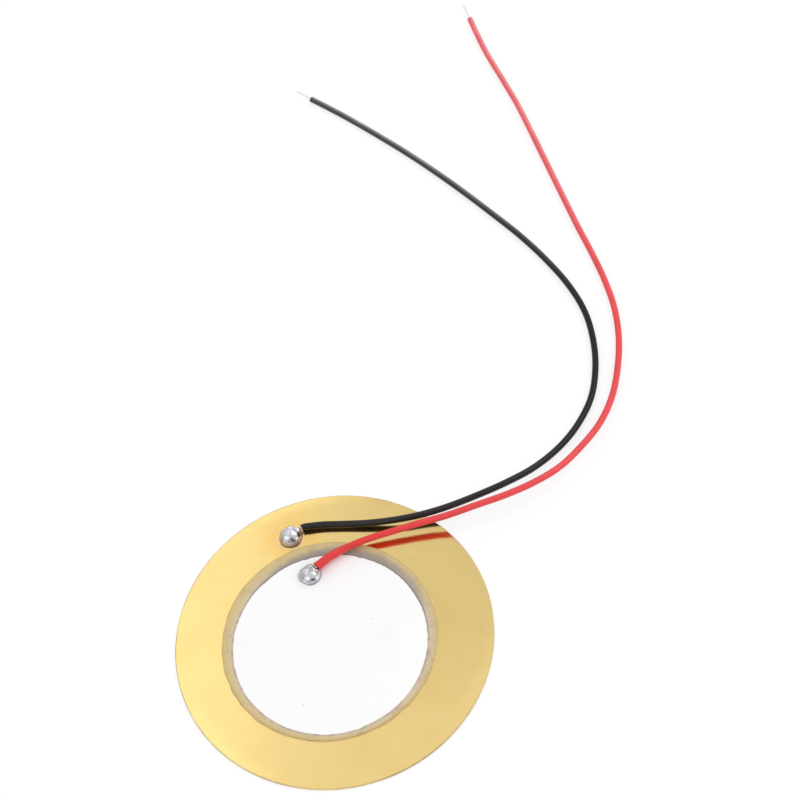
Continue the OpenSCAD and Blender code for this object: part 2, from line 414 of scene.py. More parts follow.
class NodeSheet(Sheet):
    """The nodes of one finish: a Principled shader, fed from the piece's own coordinates."""

    def __init__(self, name: str) -> None:
        """Start a material that holds only its shader and its output.

        Args:
            name: The material's name.
        """
        self.material = bpy.data.materials.new(name)
        self.material.use_nodes = True
        super().__init__(self.material.node_tree)
        self.shader = self.node("ShaderNodeBsdfPrincipled")
        self.output = self.node("ShaderNodeOutputMaterial", {0: self.shader.outputs[0]})
        self.place = self.node("ShaderNodeTexCoord").outputs["Object"]

    def finish(self, **values: Feed) -> bpy.types.Material:
        """Feed the Principled shader.

        Args:
            values: What goes into its sockets, by their names with underscores for spaces.

        Returns:
            The finished material.
        """
        for key, value in values.items():
            self.feed(self.shader.inputs[key.replace("_", " ")], value)
        return self.material

    def noise(self, size: float, detail: float = 2.0, place: Feed | None = None) -> Socket:
        """Cloudy noise from 0 to 1, its features about one size across in the coordinates' own unit."""
        feeds = {"Vector": self.place if place is None else place, "Scale": 1.0 / size, "Detail": detail}
        return self.node("ShaderNodeTexNoise", feeds).outputs[0]

    def wander(self, size: float, depth: float, detail: float = 2.0) -> Socket:
        """A length that strays either side of 0, by up to about half of the depth."""
        return self.product(self.math("SUBTRACT", self.noise(size, detail), 0.5), depth)

    def stretch(self, scale: Place, turn: float = 0.0, place: Feed | None = None) -> Socket:
        """Turn coordinates about the upright axis and then scale them.

        Args:
            scale: How much each axis is scaled.
            turn: The angle in degrees.
            place: The coordinates, or None for the piece's own.

        Returns:
            The new coordinates.
        """
        rotation = (0.0, 0.0, math.radians(turn))
        feeds = {"Vector": self.place if place is None else place, "Rotation": rotation}
        level = self.node("ShaderNodeMapping", feeds).outputs[0]
        return self.node("ShaderNodeMapping", {"Vector": level, "Scale": scale}).outputs[0]

    def reach(self, x: float, y: float) -> Socket:
        """Measure the level distance from an upright axis.

        Args:
            x: The axis's x.
            y: The axis's y.

        Returns:
            The distance, in metres.
        """
        flat = self.node("ShaderNodeVectorMath", {0: self.place, 1: (1.0, 1.0, 0.0)}, operation="MULTIPLY")
        gap = self.node("ShaderNodeVectorMath", {0: flat.outputs[0], 1: (x, y, 0.0)}, operation="DISTANCE")
        return gap.outputs["Value"]

    def coated(self, base: Feed, *coats: tuple[Feed, Feed]) -> Socket:
        """Lay colours over a base colour in turn.

        Args:
            base: The colour underneath.
            coats: Each coat's share, where 1 hides what lies under it, and its colour.

        Returns:
            The colour of them all.
        """
        for share, colour in coats:
            feeds = {0: share, 6: base, 7: colour}
            base = self.node("ShaderNodeMix", feeds, data_type="RGBA", clamp_factor=True).outputs[2]
        return base

    def bump(self, height: Feed, depth: float, normal: Feed | None = None) -> Socket:
        """A normal tilted by a height from 0 to 1 that stands for a depth in metres."""
        feeds = {"Height": height, "Distance": depth} | ({} if normal is None else {"Normal": normal})
        return self.node("ShaderNodeBump", feeds).outputs[0]


@dataclass(frozen=True)
class RolledBrass:
    """Bright rolled brass sheet, straw-coloured, with heat tint and flux stain round its solder joint."""

    joint: RoundSeat
    plate: RoundSeat
    colour: Colour = (0.93, 0.70, 0.285)
    aged: Colour = (0.905, 0.665, 0.255)
    tinted: Colour = (0.93, 0.60, 0.17)
    flux: Colour = (0.96, 0.67, 0.33)
    stain: Colour = (0.55, 0.37, 0.16)
    scorch_and_shadow: Colour = (0.30, 0.20, 0.09)
    cut: Colour = (0.46, 0.37, 0.235)
    rolling_turn: float = 8.0
    grain_length: float = 26.0
    roughness: tuple[float, float] = (0.10, 0.17)
    pool: float = 0.34 * MM
    line_width: float = 0.09 * MM

    def material(self) -> bpy.types.Material:
        """Make the brass.

        Returns:
            The material. Grain runs along the rolling direction, slow waves bend the mirror images
            a little, and the colour warms towards the joint. A matt pool of flux a third of a
            millimetre wide lies round the joint, with thin broken lines at its two edges and a
            fainter one past it. The sheared edge of the plate is duller.
        """
        sheet = NodeSheet("rolled_brass")
        grain = sheet.noise(3.5 * MM, 3.0, sheet.stretch((1.0, self.grain_length, 1.0), self.rolling_turn))
        cloud = sheet.noise(7.0 * MM, 3.0)
        gap = sheet.reach(*self.joint.centre)
        heat = sheet.total(gap, sheet.wander(2.2 * MM, 2.2 * MM))
        warmth = sheet.rise(heat, 5.0 * MM, 1.6 * MM, 0.0, 0.8)
        edge = sheet.total(gap, sheet.wander(1.3 * MM, 0.20 * MM))
        pool = self.joint.radius + self.pool
        inside = sheet.rise(edge, pool + 0.03 * MM, pool - 0.06 * MM)
        lines = []
        for offset, share, tone in (
            (0.02 * MM, 0.30, self.stain), (0.40 * MM, 0.18, self.stain), (-0.30 * MM, 0.95, self.scorch_and_shadow),
        ):
            line = sheet.product(
                sheet.rise(edge, pool + offset - self.line_width, pool + offset),
                sheet.rise(edge, pool + offset + self.line_width, pool + offset),
                sheet.rise(sheet.noise(MM, 1.0), 0.36, 0.60, 0.2, share),
            )
            lines.append((line, tone))
        out = sheet.total(sheet.reach(*self.plate.centre), sheet.wander(0.6 * MM, 0.16 * MM, 3.0))
        shear = sheet.rise(out, self.plate.radius - 0.15 * MM, self.plate.radius - 0.05 * MM)
        colour = sheet.coated(
            self.colour,
            (sheet.rise(cloud, 0.40, 0.72), self.aged),
            (sheet.rise(grain, 0.45, 0.75, 0.0, 0.25), self.aged),
            (sheet.product(warmth, sheet.rise(cloud, 0.25, 0.60, 0.55, 1.0)), self.tinted),
            (sheet.product(inside, 0.75), self.flux),
            *lines,
            (sheet.product(shear, sheet.rise(cloud, 0.3, 0.7, 0.35, 0.95)), self.cut),
        )
        polish = sheet.rise(grain, 0.3, 0.7, *self.roughness)
        waves = sheet.bump(sheet.noise(3.0 * MM, 1.0), 7.0 * UM)
        return sheet.finish(
            Base_Color=colour,
            Metallic=1.0,
            Roughness=sheet.total(polish, sheet.product(inside, 0.16), sheet.product(shear, 0.20)),
            Normal=sheet.bump(grain, 0.5 * UM, waves),
        )


@dataclass(frozen=True)
class SinteredCeramic:
    """Fired piezo ceramic: tan at its rim, and grey or beige along the printed silver."""

    wafer: RoundSeat
    silver: RoundSeat
    rim: Colour = (0.640, 0.495, 0.235)
    grey: Colour = (0.335, 0.292, 0.248)
    beige: Colour = (0.665, 0.540, 0.380)
    pink: Colour = (0.520, 0.390, 0.340)
    rosy: Colour = (0.690, 0.500, 0.370)
    # colour of the painted shadow along the silver's edge
    line: Colour = (0.235, 0.215, 0.175)
    foot: Colour = (0.560, 0.420, 0.150)
    pore: Colour = (0.21, 0.17, 0.13)

    def material(self) -> bpy.types.Material:
        """Make the ceramic.

        Returns:
            The material. Along the silver it is grey on the far side (+Y) and beige elsewhere, and
            it turns tan over the outer part of the margin, by distance from both centres. A thin
            broken grey line along the silver's edge is a painted shadow, and a yellower line follows
            the ceramic's own edge. Pink and rosy patches, clouds and fine pores break the tones up.
        """
        sheet = NodeSheet("sintered_ceramic")
        cloud = sheet.noise(1.6 * MM, 4.0)
        fine = sheet.noise(0.45 * MM, 3.0)
        broken = sheet.noise(0.8 * MM, 3.0)
        pores = sheet.noise(0.12 * MM, 2.0)
        x, y, _ = sheet.parts(sheet.place)
        far = sheet.total(y, sheet.product(x, 0.34), sheet.wander(3.0 * MM, 5.0 * MM))
        pink = sheet.product(
            sheet.rise(x, 4.0 * MM, 10.0 * MM), sheet.rise(sheet.noise(2.6 * MM), 0.46, 0.62, 0.0, 0.8)
        )
        rosy = sheet.product(
            sheet.rise(sheet.noise(1.1 * MM), 0.46, 0.62, 0.0, 0.75), sheet.rise(far, 4.0 * MM, -1.0 * MM)
        )
        past = sheet.math("SUBTRACT", sheet.reach(*self.silver.centre), self.silver.radius)
        room = sheet.math("SUBTRACT", self.wafer.radius, sheet.reach(*self.wafer.centre))
        outer = sheet.total(
            sheet.math("DIVIDE", past, sheet.total(past, room)),
            sheet.wander(0.7 * MM, 0.34, 4.0),
            sheet.rise(x, 4.0 * MM, -6.0 * MM, 0.0, 0.24),
        )
        gaps, whole = sheet.rise(broken, 0.36, 0.62, 0.55, 0.10), sheet.rise(far, 0.0, 5.0 * MM, 0.0, 0.75)
        # painted shadow: a thin broken grey line just past the silver's edge
        line = sheet.product(
            sheet.rise(sheet.total(past, sheet.product(broken, 0.14 * MM)), 0.36 * MM, 0.18 * MM),
            sheet.math("MAXIMUM", gaps, whole),
        )
        foot = sheet.total(room, sheet.product(broken, 0.10 * MM))
        colour = sheet.coated(
            self.beige,
            (sheet.rise(far, 2.5 * MM, 9.5 * MM), self.grey),
            (pink, self.pink),
            (rosy, self.rosy),
            (sheet.rise(outer, 0.30, 0.90), self.rim),
            (line, self.line),
            (sheet.rise(foot, 0.30 * MM, 0.08 * MM, 0.0, 0.65), self.foot),
            (sheet.rise(cloud, 0.50, 0.80, 0.0, 0.30), self.pore),
            (sheet.rise(fine, 0.58, 0.80, 0.0, 0.30), self.pore),
            (sheet.rise(pores, 0.62, 0.75, 0.0, 0.30), self.pore),
        )
        return sheet.finish(
            Base_Color=colour,
            Roughness=sheet.rise(cloud, 0.3, 0.7, 0.42, 0.56),
            Normal=sheet.bump(pores, 3.0 * UM, sheet.bump(fine, 4.0 * UM)),
        )


@dataclass(frozen=True)
class FiredSilver:
    """Screen-printed and fired silver: nearly white, matte, with a faint mesh mark, smudges and specks.

    A speck is its x, y and radius in millimetres.
    """

    joint: RoundSeat
    specks: tuple[Place, ...] = ((-4.2, -7.7, 0.10), (4.5, 0.9, 0.09), (7.3, 2.8, 0.07))
    colour: Colour = (0.972, 0.970, 0.968)
    smudge: Colour = (0.91, 0.895, 0.895)
    flux: Colour = (0.945, 0.912, 0.918)
    dirt: Colour = (0.30, 0.28, 0.26)
    pool: float = 0.38 * MM
    mesh_pitch: float = 0.3153 * MM

    def material(self) -> bpy.types.Material:
        """Make the silver.

        Returns:
            The material, with a faint pinkish ring of flux round its solder joint. The mesh mark is
            the wave node's diagonal bands, which repeat every 2 pi / (10 sqrt 2 scale).
        """
        sheet = NodeSheet("fired_silver")
        cloud = sheet.noise(4.0 * MM, 4.0)
        fine = sheet.noise(0.35 * MM, 3.0)
        ring = sheet.total(sheet.reach(*self.joint.centre), sheet.wander(MM, 0.7 * MM))
        pool = self.joint.radius + self.pool
        spots = []
        for x, y, size in self.specks:
            gap = sheet.total(sheet.reach(x * MM, y * MM), sheet.product(fine, 0.05 * MM))
            spots.append((sheet.rise(gap, 1.25 * size * MM, 0.7 * size * MM, 0.0, 0.7), self.dirt))
        colour = sheet.coated(
            self.colour,
            (sheet.rise(cloud, 0.55, 0.80, 0.0, 0.5), self.smudge),
            (sheet.rise(fine, 0.58, 0.85, 0.0, 0.35), self.smudge),
            (sheet.rise(ring, pool + 0.30 * MM, pool - 0.10 * MM, 0.0, 0.80), self.flux),
            *spots,
        )
        scale = math.tau / (10.0 * math.sqrt(2.0) * self.mesh_pitch)
        weave = sheet.node(
            "ShaderNodeTexWave", {"Vector": sheet.place, "Scale": scale, "Distortion": 1.2},
            wave_type="BANDS", bands_direction="DIAGONAL",
        )
        return sheet.finish(
            Base_Color=colour,
            Metallic=0.15,
            Roughness=sheet.rise(cloud, 0.3, 0.7, 0.50, 0.62),
            Normal=sheet.bump(fine, 1.8 * UM, sheet.bump(weave.outputs["Fac"], 0.6 * UM)),
        )


@dataclass(frozen=True)
class CuredGlue:
    """Cured adhesive squeezed out round the wafer: brownish and a little glossy."""

    colour: Colour = (0.64, 0.465, 0.205)
    thin: Colour = (0.80, 0.60, 0.29)

    def material(self) -> bpy.types.Material:
        """Make the glue.

        Returns:
            The material, paler where noise says that it lies thin.
        """
        sheet = NodeSheet("cured_glue")
        cloud = sheet.noise(1.2 * MM, 3.0)
        return sheet.finish(
            Base_Color=sheet.coated(self.colour, (sheet.rise(cloud, 0.35, 0.65), self.thin)),
            Roughness=sheet.rise(cloud, 0.3, 0.7, 0.24, 0.42),
            Normal=sheet.bump(sheet.noise(0.4 * MM), 4.0 * UM),
        )


@dataclass(frozen=True)
class Flux:
    """Colours of a joint's foot: darker up to the rim's height, with a pale film of flux over the skirt above
    it.

    The film leaves the bare share of the metal's shine.
    """

    rim: float
    darkened: Colour
    film: Colour
    bare: float


@dataclass(frozen=True)
class Pinhole:
    """A pinhole in a joint: its x and y from the joint's axis, its depth, and how dark its painted shade is.
    """

    x: float = 0.0
    y: float = 0.0
    depth: float = 0.0
    dark: float = 0.0
    width: float = 0.11 * MM


@dataclass(frozen=True)
class BrightSolder:
    """Tin solder, frozen bright, with frosty patches, a darker band at its foot and a film of flux over its
    skirt.
    """

    name: str
    seat: RoundSeat
    flux: Flux
    pinhole: Pinhole
    colour: Colour = (0.80, 0.785, 0.83)
    frost: Colour = (0.50, 0.48, 0.495)
    # colour of the painted shade in the pinhole
    pinhole_shade: Colour = (0.10, 0.085, 0.08)
    roughness: tuple[float, float] = (0.06, 0.26)
    dulled: float = 0.34

    def material(self) -> bpy.types.Material:
        """Make the solder.

        Returns:
            The material: a mirror that turns frosty in patches, over a slightly puckered skin. It is
            darker below the rim and out along the neck, filmed in patches over the skirt, and nearly
            black in the pinhole as painted shade. Skirt and neck are duller than the dome.
        """
        sheet, seat, flux, hole = NodeSheet(self.name), self.seat, self.flux, self.pinhole
        patch = sheet.noise(0.75 * MM, 3.0)
        up = sheet.total(sheet.parts(sheet.place)[2], sheet.wander(0.5 * MM, 0.7 * flux.rim))
        neck = sheet.rise(sheet.reach(*seat.centre), 0.82 * seat.radius, 1.02 * seat.radius, 0.0, 0.85)
        # darker band below the rim and out along the neck
        darkened = sheet.math(
            "MAXIMUM", sheet.rise(up, seat.low + 0.95 * flux.rim, seat.low + 0.40 * flux.rim), neck
        )
        skirt = sheet.product(
            sheet.rise(up, seat.low + 2.2 * flux.rim, seat.low + 0.9 * flux.rim),
            sheet.rise(patch, 0.36, 0.58, 0.6, 1.0),
        )
        from_hole = sheet.reach(seat.x + hole.x, seat.y + hole.y)
        colour = sheet.coated(
            self.colour,
            (sheet.rise(patch, 0.48, 0.66), self.frost),
            (sheet.product(skirt, 0.8), flux.film),
            (darkened, flux.darkened),
            # painted shade: the pinhole's hollow coloured nearly black
            (sheet.rise(from_hole, 0.14 * MM, 0.06 * MM, 0.0, hole.dark), self.pinhole_shade),
        )
        dull = sheet.product(sheet.math("MAXIMUM", skirt, neck), self.dulled)
        return sheet.finish(
            Base_Color=colour,
            Metallic=sheet.between(skirt, 1.0, flux.bare),
            Roughness=sheet.total(sheet.rise(patch, 0.38, 0.70, *self.roughness), dull),
            Normal=sheet.bump(sheet.noise(0.45 * MM), 16.0 * UM),
        )


@dataclass(frozen=True)
class PvcJacket:
    """Glossy extruded PVC with faint drawing lines, deeper in colour near the joint, with painted sheen
    towards its far end and a painted shadow at its mouth.
    """

    name: str
    near_colour: Colour
    colour: Colour
    # colour towards the far end, paler as painted sheen
    far_sheen: Colour
    roughness: tuple[float, float]
    shine: tuple[float, float]
    # painted sheen: a pale colour laid along one side of the far half, standing for a highlight
    painted_sheen_share: float
    painted_sheen: Colour = (0.80, 0.77, 0.78)
    painted_sheen_side: float = 0.42
    # darkening of the jacket's mouth, a painted shadow on its end face
    scorch_and_shadow: float = 0.14
    length: float = 110.0 * MM

    def material(self, mouth: float) -> bpy.types.Material:
        """Make the jacket.

        Args:
            mouth: Where the jacket starts at the joint, as a distance along the lead.

        Returns:
            The material. It follows the piece's own UV map, whose u goes round the lead and whose v
            is the distance along it in metres. The mouth's end face is darkened as a painted shadow, and
            from there on the colour pales towards the far end as painted sheen while the shine goes from
            its first value to its second. A pale painted sheen lies along the far half, on the side that
            the given turn round the lead faces.
        """
        sheet = NodeSheet(self.name)
        skin = sheet.node("ShaderNodeUVMap", uv_map="skin").outputs[0]
        around, along, _ = sheet.parts(skin)
        lines = sheet.noise(1.0, 2.0, sheet.stretch((22.0, 60.0, 1.0), place=skin))
        cloud = sheet.noise(3.5 * MM, 3.0)
        fine = sheet.noise(0.18 * MM)
        # painted shadow: the mouth's end face, turned towards the joint, is darkened
        lip = sheet.product(
            sheet.rise(along, mouth + 0.09 * MM, mouth + 0.01 * MM, 0.0, 0.85),
            sheet.rise(along, mouth - MM, mouth),
        )
        # painted sheen: a pale colour over the far half, strongest on one side of the lead
        turn = sheet.total(sheet.product(around, math.tau), -self.painted_sheen_side * math.tau)
        painted_sheen = sheet.product(
            sheet.rise(sheet.math("COSINE", turn), -0.25, 1.0),
            sheet.rise(along, 0.48 * self.length, 0.90 * self.length),
            sheet.rise(cloud, 0.25, 0.75, 0.8, 1.1),
            self.painted_sheen_share,
        )
        colour = sheet.coated(
            self.near_colour,
            (sheet.rise(along, 6.0 * MM, 22.0 * MM), self.colour),
            # painted sheen: the colour pales towards the far end
            (sheet.rise(along, 0.45 * self.length, 0.95 * self.length), self.far_sheen),
            (lip, tuple(self.scorch_and_shadow * channel for channel in self.near_colour)),
            (painted_sheen, self.painted_sheen),
        )
        shade = sheet.rise(cloud, 0.30, 0.70, 0.94, 1.05)
        shaded = sheet.node("ShaderNodeVectorMath", {0: colour, "Scale": shade}, operation="SCALE")
        return sheet.finish(
            Base_Color=shaded.outputs[0],
            Roughness=sheet.rise(lines, 0.3, 0.7, *self.roughness),
            Specular_IOR_Level=sheet.rise(along, 20.0 * MM, 34.0 * MM, *self.shine),
            Normal=sheet.bump(lines, 2.5 * UM, sheet.bump(fine, 1.5 * UM)),
        )


@dataclass(frozen=True)
class TinnedStrand:
    """Tinned copper strand: grey-white tin with copper showing faintly through."""

    colour: Colour = (0.93, 0.925, 0.915)
    copper: Colour = (0.80, 0.60, 0.48)

    def material(self) -> bpy.types.Material:
        """Make the tin.

        Returns:
            The material, with a little copper where noise says that the tin is thin.
        """
        sheet = NodeSheet("tinned_strand")
        cloud = sheet.noise(0.5 * MM, 3.0)
        return sheet.finish(
            Base_Color=sheet.coated(self.colour, (sheet.rise(cloud, 0.58, 0.74, 0.0, 0.4), self.copper)),
            Metallic=0.7,
            Roughness=sheet.rise(cloud, 0.3, 0.7, 0.20, 0.38),
            Normal=sheet.bump(sheet.noise(0.08 * MM), 1.5 * UM),
        )


# ---------------------------------------------------------------- pieces


def dress(piece: Piece, slot: Slot, finish: bpy.types.Material, *stands_for: str) -> Piece:
    """Give a piece its material and its body, and hide the CAD nodes that it stands for.

    Args:
        piece: The piece.
        slot: Not used.
        finish: The material.
        stands_for: CAD nodes that the piece replaces.

    Returns:
        The piece.
    """
    piece.data.materials.clear()
    piece.data.materials.append(finish)
    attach(piece, BODY)
    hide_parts(*stands_for)
    return piece


@dataclass
class BrassPlate:
    """The stamped plate: punched with a rolled upper edge and a small chamfer below."""

    seat: RoundSeat
    joint: RoundSeat
    columns: int = 512
    roll: float = 0.06 * MM  # radius of the upper edge
    chamfer: float = 0.03 * MM
    shear: float = 0.004 * MM  # how much the wall wavers
    shear_reach: float = 0.3 * MM  # how far in from the wall it does so

    def build(self) -> tuple[Piece]:
        """Turn the plate's profile round its axis and dress it.

        Returns:
            The plate. Its wall wavers by a few thousandths of a millimetre, as a sheared edge does:
            the radius is the profile's, less the shear times a ripple that fades out away from the wall.
        """
        seat = self.seat
        flat = seat.radius * np.array([0.25, 0.5, 0.75, 0.92])
        wall = np.linspace(self.chamfer, seat.high - self.roll, 5)
        roll_out, roll_up = arc(self.roll, 0.0, 90.0, 8)
        out = np.concatenate([
            flat, [seat.radius - self.chamfer], np.full(wall.size, seat.radius),
            seat.radius - self.roll + roll_out[1:], flat[::-1],
        ])
        up = np.concatenate([
            np.zeros(flat.size + 1), wall, seat.high - self.roll + roll_up[1:], np.full(flat.size, seat.high),
        ])
        near = smooth_rise(out, seat.radius - self.shear_reach, seat.radius)[:, None]
        waver = np.abs(ripple(round_angles(self.columns), seed=11, lowest=3, highest=70))
        blank = turned("brass_blank", seat.centre, out[:, None] - self.shear * near * waver, up[:, None])
        brass = RolledBrass(self.joint, seat).material()
        return (dress(blank, Slot.BRASS, brass, "brass_plate"),)


@dataclass
class CeramicWafer:
    """The ceramic, its glue and the silver printed on it."""

    wafer: RoundSeat
    silver: RoundSeat
    glue: RoundSeat
    columns: int = 720
    arris: float = 0.03 * MM  # radius of the ceramic's edges
    electrode: float = 0.01 * MM  # thickness of the hidden lower electrode
    chip: float = 0.05 * MM
    chip_drop: float = 0.4  # how far down a chip goes, as a share of how far in
    chip_levels: Spot = (1.5, 2.6)  # of the ripple, where a chip starts and where it is whole
    drawn_in: float = 0.02 * MM
    ragged: float = 0.022 * MM
    tear: float = 1.3  # how deep a tear is, as a share of the rags
    tear_levels: Spot = (1.6, 2.4)  # of the ripple, where a tear starts and where it is whole
    bead_waver: float = 0.028 * MM
    bead_reach: Spot = (0.03 * MM, 0.18 * MM)
    climb_share: float = 0.80  # of the glue's full height
    climb_waver: float = 0.25
    bead_climb: Spot = (0.035 * MM, 0.15 * MM)

    def build_ceramic(self) -> Piece:
        """Turn the wafer, with small chips along its upper arris.

        Returns:
            The wafer. A chip is a place where a high-numbered ripple rises above a level, and there
            the arris's rows move in and down.
        """
        seat, inner = self.wafer, self.wafer.radius - self.arris
        low_out, low_up = arc(self.arris, -90.0, 0.0, 5)
        high_out, high_up = arc(self.arris, 0.0, 90.0, 6)
        face_out, face_up = [inner - 0.1 * MM, inner * 0.8], [seat.high, seat.high]
        out = np.concatenate([[inner * 0.8], inner + low_out, inner + high_out, face_out])
        up = np.concatenate([
            [seat.low], seat.low + self.arris + low_up, seat.high - self.arris + high_up, face_up,
        ])
        # A chip's share by row: none below, growing to all of it on the upper arris, less on the face.
        share = np.concatenate([np.zeros(6), smooth_rise(np.arange(6.0), 0.0, 3.0), [0.35, 0.0]])[:, None]
        chips = ripple(round_angles(self.columns), seed=23, lowest=40, highest=130)
        bite = smooth_rise(chips, *self.chip_levels)
        radius = out[:, None] - self.chip * share * bite
        height = up[:, None] - self.chip_drop * self.chip * share * bite
        return turned("ceramic_wafer", seat.centre, radius, height)

    def build_print(self) -> Piece:
        """Turn the upper electrode.

        Returns:
            A film that thins out towards its edge. A ripple draws the edge in and out all round,
            and tears draw it further in where a second ripple rises above a level.
        """
        seat, angle = self.silver, round_angles(self.columns)
        # Row by row from the bottom pole to the top one: how far out, how high and how ragged.
        out = seat.radius + np.array([-3.0, -0.02, 0.0, -0.02, -0.06, -0.16, -3.0]) * MM
        up = seat.low + seat.tall * np.array([0.0, 0.0, 0.12, 0.55, 0.85, 1.0, 1.0])
        share = np.array([0.0, 1.0, 1.0, 1.0, 0.9, 0.5, 0.0])[:, None]
        tears = smooth_rise(ripple(angle, seed=41, lowest=20, highest=60), *self.tear_levels)
        rags = ripple(angle, seed=37, lowest=5, highest=150)
        edge = self.ragged * (rags + self.tear * tears) + self.drawn_in
        return turned("silver_print", seat.centre, out[:, None] - share * edge, up[:, None])

    def build_glue(self) -> Piece:
        """Turn the glue: a film under the wafer and an uneven bead that climbs its wall.

        Returns:
            The glue. The bead's reach out and its climb follow one slow ripple, and its face is a
            quarter of a hollow ellipse between the two.
        """
        film, wafer = self.glue, self.wafer
        flow = ripple(round_angles(self.columns), seed=53, lowest=2, highest=40)
        reach = np.clip(film.radius - wafer.radius + self.bead_waver * flow, *self.bead_reach)
        climb = np.clip(film.tall * (self.climb_share + self.climb_waver * flow), *self.bead_climb)
        turn = np.radians(np.linspace(0.0, 90.0, 7))[:, None]
        face_out = wafer.radius + reach * (1.0 - np.sin(turn))
        face_up = film.low + climb * (1.0 - np.cos(turn))
        inside, under, top = (
            np.full((1, self.columns), size)
            for size in (wafer.radius - 0.01 * MM, film.low, wafer.low - self.electrode)
        )
        radius = np.concatenate([inside * 0.8, face_out, inside, inside, inside * 0.8])
        height = np.concatenate([under, face_up, face_up[-1:], top, top])
        return turned("glue_bead", film.centre, radius, height)

    def build(self, silver: bpy.types.Material) -> tuple[Piece, ...]:
        """Build and dress the wafer, its print and its glue.

        Args:
            silver: The material of the print.

        Returns:
            The three pieces.
        """
        ceramic = SinteredCeramic(self.wafer, self.silver).material()
        return (
            dress(self.build_ceramic(), Slot.CERAMIC, ceramic, "ceramic_disc"),
            dress(self.build_print(), Slot.SILVER, silver, "upper_electrode"),
            dress(self.build_glue(), Slot.GLUE, CuredGlue().material(), "adhesive_bond"),
        )


